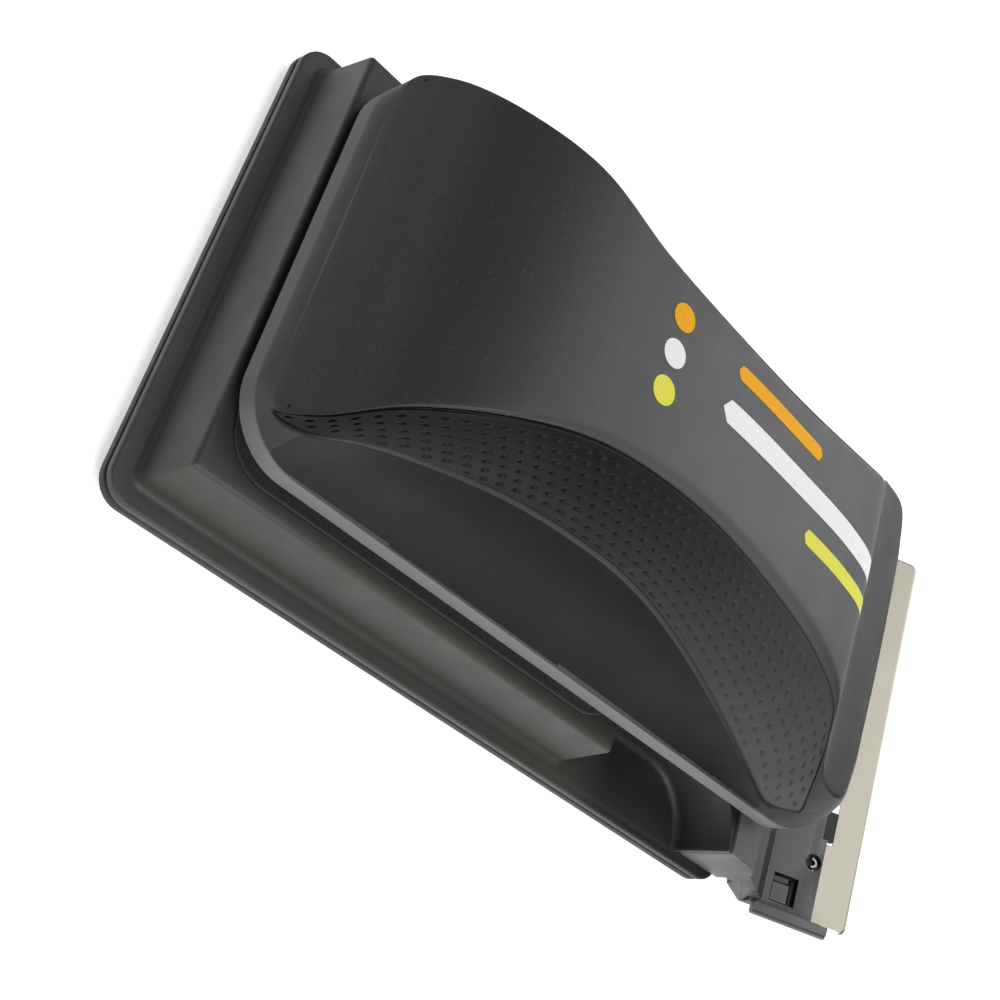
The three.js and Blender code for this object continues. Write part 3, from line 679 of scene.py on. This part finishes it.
def blade_pin(name, side):
    """Short pin, sunk in its hole, with a bright curved hook on its head."""
    disc = rod(PIN_U, side * PIN_V, PIN_HEAD_W0, PIN_HEAD_W1, PIN_RADIUS + 0.25, name=name)

    def place(u, v, w):
        angle = lerp(-HOOK_SWEEP, HOOK_SWEEP, u)
        reach = lerp(HOOK_IN, HOOK_OUT, v)
        x = PIN_U + reach * np.cos(angle)
        y = side * PIN_V + reach * np.sin(angle)
        return np.stack([x, y, lerp(HOOK_W0, HOOK_W1, w)], -1)

    points, faces, _ = lattice((24, 2, 2), place)
    combine(disc, [new_object("hook", points, faces)], "UNION")
    smooth_shade(disc, 35)
    disc.data.materials.append(LOOKS["pin"])
    # Painted shade: the pin's lower part, down in its hole, takes the near-black material.
    disc.data.materials.append(LOOKS["painted_shade"])
    for face in disc.data.polygons:
        face.material_index = int(face.center.z < -1.2 * MM)
    return to_slope(disc)


def latch_tongue():
    """Spring tongue in the carrier's window, thinner at its root."""
    def place(u, v, w):
        root = smoothstep(v, 0.7, 0.82)
        inset = TONGUE_SOFTENING * (2 * w - 1) ** 2
        x = lerp(TONGUE_U0 + inset, TONGUE_U1 - inset, u)
        y = lerp(TONGUE_V0 + inset, TONGUE_V1 - inset, v)
        return np.stack([x, y, lerp(TONGUE_W0, TONGUE_W1 - TONGUE_THINNING * root, w)], -1)

    points, faces, _ = lattice((12, 16, 4), place)
    tongue = new_object("latch_spring", points, faces)
    smooth_shade(tongue, 35)
    return to_slope(tongue)


# ---------------------------------------------------------------- printed mark
def printed_bar(name, x, y, length, width):
    """Thin print with round ends, lying on the palm; a dot is as long as it is wide."""
    def place(u, v, w):
        end = np.minimum(u, 1 - u) * length / (width / 2)
        full = np.sqrt(np.clip(1 - (1 - np.minimum(end, 1)) ** 2, 0, 1))
        along = (u - 0.5) * length
        across = (v - 0.5) * width * np.maximum(full, 0.02)
        px = x + along * math.cos(MARK_TILT) - across * math.sin(MARK_TILT)
        py = y + along * math.sin(MARK_TILT) + across * math.cos(MARK_TILT)
        half = np.interp(px, PALM_POINTS[:, 0], PALM_POINTS[:, 1])
        top = np.interp(px, PALM_POINTS[:, 0], PALM_POINTS[:, 2])
        b = np.clip(py / half, -1, 1)
        return np.stack([px, py, top + PALM_CROWN * (1 - b * b) + MARK_LIFT + MARK_THICK * w], -1)

    points, faces, _ = lattice((36, 8, 1), place)
    obj = new_object(name, points, faces)
    smooth_shade(obj, 50)
    return obj


# ---------------------------------------------------------------- materials
def srgb(value):
    value /= 255
    return value / 12.92 if value <= 0.04045 else ((value + 0.055) / 1.055) ** 2.4


def colour(r, g, b):
    return (srgb(r), srgb(g), srgb(b), 1)


class Look:
    """A Principled material and short calls to build its nodes in object space."""

    def __init__(self, name, roughness, metallic=0.0, specular=0.5):
        self.material = bpy.data.materials.new(name)
        self.material.use_nodes = True
        self.nodes = self.material.node_tree.nodes
        self.links = self.material.node_tree.links
        self.shader = self.nodes["Principled BSDF"]
        self.shader.inputs["Roughness"].default_value = roughness
        self.shader.inputs["Metallic"].default_value = metallic
        self.shader.inputs["Specular IOR Level"].default_value = specular
        self.place = self.nodes.new("ShaderNodeTexCoord").outputs["Object"]

    def link(self, output, node_input):
        self.links.new(output, node_input)
        return node_input

    def stretched(self, scale):
        node = self.nodes.new("ShaderNodeMapping")
        node.inputs["Scale"].default_value = scale
        self.link(self.place, node.inputs["Vector"])
        return node.outputs["Vector"]

    def noise(self, size_mm, detail=3.0, place=None):
        node = self.nodes.new("ShaderNodeTexNoise")
        node.inputs["Scale"].default_value = 1 / (size_mm * MM)
        node.inputs["Detail"].default_value = detail
        self.link(place or self.place, node.inputs["Vector"])
        return node.outputs["Fac"]

    def cells(self, size_mm):
        node = self.nodes.new("ShaderNodeTexVoronoi")
        node.inputs["Scale"].default_value = 1 / (size_mm * MM)
        self.link(self.place, node.inputs["Vector"])
        return node.outputs["Distance"]

    def ramp(self, value, stops):
        node = self.nodes.new("ShaderNodeValToRGB")
        ramp = node.color_ramp
        while len(ramp.elements) < len(stops):
            ramp.elements.new(0.5)
        for element, (at, tone) in zip(ramp.elements, stops):
            element.position = at
            element.color = tone if isinstance(tone, tuple) else (tone, tone, tone, 1)
        self.link(value, node.inputs["Fac"])
        return node.outputs["Color"]

    def math(self, operation, a, b):
        node = self.nodes.new("ShaderNodeMath")
        node.operation = operation
        for socket, value in zip(node.inputs, (a, b)):
            if isinstance(value, (int, float)):
                socket.default_value = value
            else:
                self.link(value, socket)
        return node.outputs["Value"]

    def mix(self, factor, a, b):
        node = self.nodes.new("ShaderNodeMix")
        node.data_type = "RGBA"
        for key, value in ((0, factor), (6, a), (7, b)):
            if isinstance(value, (int, float, tuple)):
                node.inputs[key].default_value = value
            else:
                self.link(value, node.inputs[key])
        return node.outputs[2]

    def axis(self, name):
        node = self.nodes.new("ShaderNodeSeparateXYZ")
        self.link(self.place, node.inputs["Vector"])
        return node.outputs[name]

    def along(self, axis, low_mm, high_mm):
        node = self.nodes.new("ShaderNodeMapRange")
        node.inputs["From Min"].default_value = low_mm * MM
        node.inputs["From Max"].default_value = high_mm * MM
        node.interpolation_type = "SMOOTHSTEP"
        self.link(self.axis(axis), node.inputs["Value"])
        return node.outputs["Result"]

    def facing_aside(self):
        """1 where the surface faces to the near or far side, 0 where it faces up."""
        node = self.nodes.new("ShaderNodeSeparateXYZ")
        self.link(self.nodes.new("ShaderNodeTexCoord").outputs["Normal"], node.inputs["Vector"])
        aside = self.math("ABSOLUTE", node.outputs["Y"], 0.0)
        return self.ramp(aside, [(0.35, 0.0), (0.75, 1.0)])

    def edges(self):
        """1 along sharp outer edges, 0 elsewhere."""
        node = self.nodes.new("ShaderNodeNewGeometry")
        return self.ramp(node.outputs["Pointiness"], [(0.52, 0.0), (0.62, 1.0)])

    def bump(self, heights):
        """Bumps one on another: (height output, strength, distance in mm)."""
        normal = None
        for height, strength, distance in heights:
            node = self.nodes.new("ShaderNodeBump")
            node.inputs["Strength"].default_value = strength
            node.inputs["Distance"].default_value = distance * MM
            self.link(height, node.inputs["Height"])
            if normal is not None:
                self.link(normal, node.inputs["Normal"])
            normal = node.outputs["Normal"]
        self.link(normal, self.shader.inputs["Normal"])

    def base(self, output):
        self.link(output, self.shader.inputs["Base Color"])

    def rough(self, value, low, high):
        self.link(self.ramp(value, [(0.3, low), (0.7, high)]), self.shader.inputs["Roughness"])


def moulded(name, dark, light, grain_mm, grain_strength, rough_low, rough_high,
            wear_and_highlight=0.35, painted_light_tint=None, aside=0.0):
    """Spark-eroded black plastic: fine grain, slow tone changes, paler rubbed edges that also carry a
    painted highlight, and faint dust.
    A tint of painted light comes with painted shade darkening the blade end, and aside paints shade on what
    faces the near and far sides."""
    look = Look(name, rough_high, specular=0.45)
    tone = look.ramp(look.noise(19, 4), [(0.3, dark), (0.7, light)])
    if painted_light_tint is not None:
        # Painted light: patches of a yellowish tint.
        tone = look.mix(look.ramp(look.noise(33, 2), [(0.3, 0.2), (0.8, 0.5)]), tone, painted_light_tint)
        # Painted shade darkening the housing from X 14 to 26 and on towards the blade end.
        tone = look.mix(look.math("MULTIPLY", look.along("X", 14, 26), 0.75), tone, colour(20, 20, 21))
    if aside:
        # Painted shade on what faces the near and far sides.
        tone = look.mix(look.math("MULTIPLY", look.facing_aside(), aside), tone, colour(34, 34, 35))
    speck = look.ramp(look.noise(0.55, 2), [(0.62, 0.0), (0.8, 0.25)])
    tone = look.mix(speck, tone, tuple(min(1, c * 2.2) for c in light[:3]) + (1,))
    # Paler sharp edges: rubbed wear together with a painted highlight.
    edge = look.math("MULTIPLY", look.edges(), wear_and_highlight)
    tone = look.mix(edge, tone, tuple(min(1, c * 3.0) for c in light[:3]) + (1,))
    look.base(tone)
    look.rough(look.noise(6, 4), rough_low, rough_high)
    look.bump([(look.noise(grain_mm, 2), grain_strength, 0.06), (look.noise(14, 2), 0.06, 0.4)])
    return look.material


def felt(name, dark, light, fibre_mm, strength):
    """Pressed fibres: stretched noise in two directions, fuzz and a soft sheen."""
    look = Look(name, 0.95, specular=0.12)
    look.shader.inputs["Sheen Weight"].default_value = 0.25
    look.shader.inputs["Sheen Roughness"].default_value = 0.6
    along = look.noise(fibre_mm, 3, look.stretched((1, 4, 4)))
    across = look.noise(fibre_mm, 3, look.stretched((4, 1, 4)))
    fibre = look.mix(0.5, along, across)
    look.base(look.ramp(fibre, [(0.35, dark), (0.7, light)]))
    look.rough(look.noise(3, 3), 0.86, 1.0)
    look.bump([(fibre, strength, 0.25), (look.cells(fibre_mm * 1.4), strength * 0.6, 0.2)])
    return look.material


def metal(name, dark, light, roughness, brush, strength):
    """Metal with a brushed or plated grain."""
    look = Look(name, roughness, metallic=1.0)
    grain = look.noise(0.9, 3, look.stretched(brush))
    cloud = look.noise(12, 3)
    look.base(look.ramp(look.mix(0.45, cloud, grain), [(0.3, dark), (0.7, light)]))
    look.rough(look.mix(0.8, look.noise(5, 3), grain), roughness * 0.92, min(1, roughness * 1.1))
    look.bump([(grain, strength, 0.03)])
    return look.material


def foam(name, dark, light):
    look = Look(name, 0.95, specular=0.2)
    pores = look.cells(0.9)
    look.base(look.mix(look.ramp(pores, [(0.15, 1.0), (0.5, 0.0)]), light, dark))
    look.rough(look.noise(4, 2), 0.85, 1.0)
    look.bump([(pores, 0.6, 0.3)])
    return look.material


def print_ink(name, tone, worn):
    look = Look(name, 0.62, specular=0.12)
    look.base(look.mix(look.ramp(look.noise(1.4, 5), [(0.6, 0.0), (0.85, 0.35)]), tone, worn))
    look.rough(look.noise(2, 3), 0.58, 0.7)
    look.bump([(look.noise(0.4, 2), 0.15, 0.03)])
    return look.material


def palm_plastic():
    """Satin soft-touch plastic of the handle, with painted light making it palest about its middle and along
    the lip, and painted shade darkening both ends.
    """
    look = Look("palm_plastic", 0.5, specular=0.32)
    # Painted shade at the thick end and the blade end, painted light about the middle.
    shaded_thick_end = look.ramp(look.noise(16, 4), [(0.2, colour(42, 42, 43)), (0.85, colour(45, 45, 46))])
    paler = look.ramp(look.noise(12, 4), [(0.2, colour(71, 71, 73)), (0.85, colour(74, 74, 76))])
    tone = look.mix(look.along("X", -85, -22), shaded_thick_end, paler)
    tone = look.mix(look.along("X", 0, 48), tone, colour(33, 33, 35))
    # Painted reflection of the pale floor: the lip band is paler, and paler still where it faces the near or
    # far side.
    band = look.math("SUBTRACT", 1.0, look.along("Z", LIP_TOP - 0.3, LIP_TOP + 0.5))
    tone = look.mix(look.math("MULTIPLY", band, 0.6), tone, colour(84, 84, 81))
    near_band = look.math("MULTIPLY", band, look.facing_aside())
    tone = look.mix(look.math("MULTIPLY", near_band, 0.7), tone, colour(118, 118, 116))
    speck = look.ramp(look.noise(0.6, 2), [(0.6, 0.0), (0.8, 0.22)])
    tone = look.mix(speck, tone, colour(105, 105, 104))
    look.base(tone)
    look.rough(look.noise(5, 4), 0.5, 0.56)
    look.bump([(look.noise(0.32, 2), 0.32, 0.05), (look.noise(10, 2), 0.02, 0.4)])
    return look.material


def scoop_shade_plastic():
    """The handle's hollow sides: a matt copy of the handle's plastic with painted shade, darkest just below
    the ridge.
    """
    look = Look("scoop_shade_plastic", 0.6, specular=0.16)
    # Painted shade: darker upwards to just below the ridge, blended to flat greys towards the blade end and
    # a lighter grey at the thick end.
    high = look.along("Z", 30, 42)
    low = look.ramp(look.noise(14, 3), [(0.3, colour(38, 38, 39)), (0.7, colour(42, 42, 43))])
    tone = look.mix(high, low, colour(6, 6, 7))
    tone = look.mix(look.math("MULTIPLY", look.along("X", 0, 30), 0.7), tone, colour(18, 18, 20))
    tone = look.mix(look.along("X", 28, 41), tone, colour(33, 33, 35))
    tone = look.mix(look.along("X", -77, -62), colour(43, 43, 44), tone)
    look.base(tone)
    look.rough(look.noise(5, 4), 0.56, 0.64)
    look.bump([(look.noise(0.32, 2), 0.32, 0.05)])
    return look.material


def grip_rubber():
    """Dimpled side grips, with painted shade darkening them towards the thick end and painted light towards
    the blade end.
    """
    look = Look("grip_rubber", 0.5, specular=0.22)
    # Painted shade (the dark tone) blending into painted light (the light tone) along X.
    dark = look.ramp(look.noise(14, 3), [(0.3, colour(4, 4, 5)), (0.7, colour(7, 7, 8))])
    light = look.ramp(look.noise(14, 3), [(0.3, colour(60, 60, 61)), (0.7, colour(65, 65, 66))])
    tone = look.mix(look.along("X", -45, 42), dark, light)
    look.base(tone)
    look.rough(look.noise(5, 4), 0.48, 0.58)
    look.bump([(look.noise(0.3, 2), 0.32, 0.05)])
    return look.material


LOOKS = {
    "palm": palm_plastic(),
    "scoop": scoop_shade_plastic(),
    # The housing's yellowish tint is painted light.
    "housing": moulded("housing_plastic", colour(50, 50, 48), colour(56, 56, 53), 0.4, 0.55, 0.46, 0.56,
                       painted_light_tint=colour(62, 62, 56)),
    "base": moulded("base_plastic", colour(34, 35, 35), colour(45, 46, 46), 0.42, 0.6, 0.5, 0.66),
    # The mount's plastic is paler than the housing's as painted light on the mount, carrier and latch; aside
    # adds painted shade on their sides.
    "mount": moulded("mount_painted_light_and_shade", colour(72, 72, 75), colour(84, 84, 87), 0.38, 0.4, 0.42, 0.54,
                     aside=0.8),
    # Near-black copy of the plastic: painted shade for faces down in hollows, grooves and holes.
    "painted_shade": moulded("painted_shade_plastic", colour(10, 10, 11), colour(16, 16, 17), 0.38, 0.4, 0.5, 0.6,
                      wear_and_highlight=0.1),
    "grip": grip_rubber(),
    "felt": felt("felt_black", colour(9, 9, 10), colour(24, 24, 26), 0.9, 0.8),
    "glide": felt("glide_black", colour(16, 16, 17), colour(38, 38, 39), 0.7, 0.55),
    "scrub": felt("scrub_grey", colour(38, 40, 44), colour(84, 87, 92), 1.6, 1.0),
    "blade": metal("blade_steel", colour(168, 164, 152), colour(177, 173, 161), 0.46, (1, 10, 10), 0.1),
    "pin": metal("pin_steel", colour(112, 113, 115), colour(150, 151, 153), 0.34, (1, 1, 1), 0.08),
    "nickel": metal("magnet_nickel", colour(160, 158, 150), colour(202, 200, 192), 0.24, (1, 1, 1), 0.05),
    "zinc": metal("yoke_zinc", colour(112, 116, 120), colour(168, 171, 174), 0.42, (2, 2, 1), 0.2),
    "foam": foam("float_foam", colour(58, 60, 62), colour(104, 107, 109)),
    "ink_white": print_ink("ink_white", colour(226, 226, 226), colour(150, 150, 152)),
    "ink_amber": print_ink("ink_amber", colour(226, 160, 20), colour(160, 118, 36)),
    "ink_lime": print_ink("ink_lime", colour(212, 208, 78), colour(150, 148, 70)),
}


def dress(obj, look, body, slot, *nodes):
    """Gives a piece its material and the body it rides on, and hides the CAD nodes it stands for; its slot
    is not used.
    """
    if not obj.data.materials:
        obj.data.materials.append(LOOKS[look])
    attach(obj, body)
    if nodes:
        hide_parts(*nodes)
    return obj


# ---------------------------------------------------------------- pieces
cover = dress(handle_shell(), "palm", "handle", "black_plastic", "handle_shell")
# Faces of the sides below the ridge take the darker copy of the plastic, as painted shade.
cover.data.materials.append(LOOKS["scoop"])
ridge = handle_surface(np.linspace(0, 1, 400), 1, np.full(400, 0.5))
for face in cover.data.polygons:
    x, y, z = face.center / MM
    x -= SHIFT_X
    below_ridge = LIP_TOP + 0.2 < z < np.interp(x, ridge[:, 0], ridge[:, 2]) - 0.05
    outside = abs(y) > np.interp(x, ridge[:, 0], ridge[:, 1])
    if SCOOP_X0 < x < SCOOP_X1 and below_ridge and outside:
        face.material_index = 1
for side, sign in (("near", -1), ("far", 1)):
    dress(grip_insert(f"grip_{side}", sign), "grip", "handle", "soft_grip", f"grip_insert_{side}")

handle_felt = pad("handle_felt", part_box("felt_pad"), LIP_RADIUS_THICK_END - 1, LIP_RADIUS_BLADE_END - 1,
                  cell=0.9, nap=0.16, nap_size=0.8, edge_round=0.35)
dress(handle_felt, "felt", "handle", "felt", "felt_pad")

dress(housing(), "housing", "cleaner", "black_plastic", "housing_shell")
dress(base_plate(), "base", "cleaner", "base_plastic", "base_plate")
glide = pad("glide_felt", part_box("glide_pad"), 9, 9, cell=0.9, nap=0.1, nap_size=0.7, edge_round=0.25)
dress(glide, "glide", "cleaner", "felt", "glide_pad")
scrub = pad("scrub_fleece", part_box("scrub_pad"), 5, 5, cell=1.0, nap=0.3, nap_size=1.3, edge_round=0.7)
dress(scrub, "scrub", "cleaner", "scrub", "scrub_pad")

dress(blade_mount(), "mount", "cleaner", "black_plastic", "blade_mount")
dress(blade_carrier(), "mount", "carrier", "black_plastic", "blade_carrier")
dress(blade(), "blade", "carrier", "blade_steel", "blade")
for side, sign in (("near", -1), ("far", 1)):
    dress(blade_pin(f"pin_{side}", sign), "pin", "carrier", "screw_steel", f"blade_pin_{side}")
dress(latch_tongue(), "mount", "latch", "black_plastic", "latch_tongue")

# Generic print: three dots across the palm and three plain bars along it.
for name, ink, x, y, length, width in (
    ("print_dot_amber", "ink_amber", -25.0, 9.0, 4.8, 4.8),
    ("print_dot_white", "ink_white", -25.0, 2.2, 4.8, 4.8),
    ("print_dot_lime", "ink_lime", -25.0, -4.6, 4.8, 4.8),
    ("print_bar_amber", "ink_amber", 3.0, 9.6, 27.0, 2.8),
    ("print_bar_white", "ink_white", 17.0, 2.2, 58.0, 4.2),
    ("print_bar_lime", "ink_lime", 32.0, -4.6, 31.0, 2.8),
):
    dress(printed_bar(name, x, y, length, width), ink, "handle", "black_plastic")

HIDDEN = {
    "nickel": ["cleaner_magnet_1", "cleaner_magnet_2", "handle_magnet_1", "handle_magnet_2"],
    "zinc": ["cleaner_yoke", "handle_yoke"],
    "foam": ["float_foam_near", "float_foam_far", "float_foam_end"],
    "base": ["magnet_tray", "handle_base"],
    "pin": [f"{half}_screw_{i}" for half in ("cleaner", "handle") for i in (1, 2, 3, 4)],
}
for look, names in HIDDEN.items():
    for node in names:
        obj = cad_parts[node]
        obj.data.materials.clear()
        obj.data.materials.append(LOOKS[look])
        modifier = obj.modifiers.new("edges", "BEVEL")
        modifier.width = HIDDEN_BEVEL * MM
        modifier.segments = 2
        modifier.limit_method = "ANGLE"
        modifier.angle_limit = math.radians(40)


# ---------------------------------------------------------------- floor, light, camera
def floor():
    reach = 4000
    corners = [(-reach, -reach, 0), (reach, -reach, 0), (reach, reach, 0), (-reach, reach, 0)]
    sheet = new_object("floor", corners, [(0, 1, 2, 3)])
    look = Look("floor_paper", 0.9, specular=0.1)
    look.base(look.ramp(look.noise(90, 2), [(0.3, (0.86, 0.86, 0.86, 1)), (0.7, (0.9, 0.9, 0.9, 1))]))
    look.shader.inputs["Emission Color"].default_value = (1, 1, 1, 1)
    look.shader.inputs["Emission Strength"].default_value = 0.6
    sheet.data.materials.append(look.material)


def softbox(name, place, size, power):
    light = bpy.data.lights.new(name, "AREA")
    light.shape = "DISK"
    light.size = size
    light.energy = power
    obj = bpy.data.objects.new(name, light)
    obj.location = place
    obj.rotation_euler = (Vector(LIGHT_TARGET) - Vector(place)).to_track_quat("-Z", "Y").to_euler()
    bpy.context.scene.collection.objects.link(obj)


def studio():
    world = bpy.data.worlds.new("studio")
    world.use_nodes = True
    world.node_tree.nodes["Background"].inputs["Color"].default_value = (1, 1, 1, 1)
    world.node_tree.nodes["Background"].inputs["Strength"].default_value = 0.12
    bpy.context.scene.world = world
    softbox("key", (0.8, 0.6, 0.55), size=0.9, power=5)
    softbox("top", (0.1, 0.3, 1.1), size=0.9, power=5)
    softbox("near", (0, -0.8, 0.75), size=0.6, power=8)
    bpy.context.scene.view_settings.view_transform = "Standard"


def camera():
    data = bpy.data.cameras.new("camera")
    data.sensor_width = CAMERA_SENSOR
    data.lens = CAMERA_LENS
    data.clip_start = 0.01
    obj = bpy.data.objects.new("camera", data)
    place = Matrix.Translation(CAMERA_TARGET * MM)
    aim = Matrix.Rotation(CAMERA_AZIMUTH, 4, "Z") @ Matrix.Rotation(math.pi / 2 - CAMERA_ELEVATION, 4, "X")
    roll = Matrix.Rotation(CAMERA_ROLL, 4, "Z")
    step_back = Matrix.Translation((0, 0, CAMERA_DISTANCE * MM))
    obj.matrix_world = place @ aim @ roll @ step_back
    bpy.context.scene.collection.objects.link(obj)
    bpy.context.scene.camera = obj


floor()
studio()
camera()
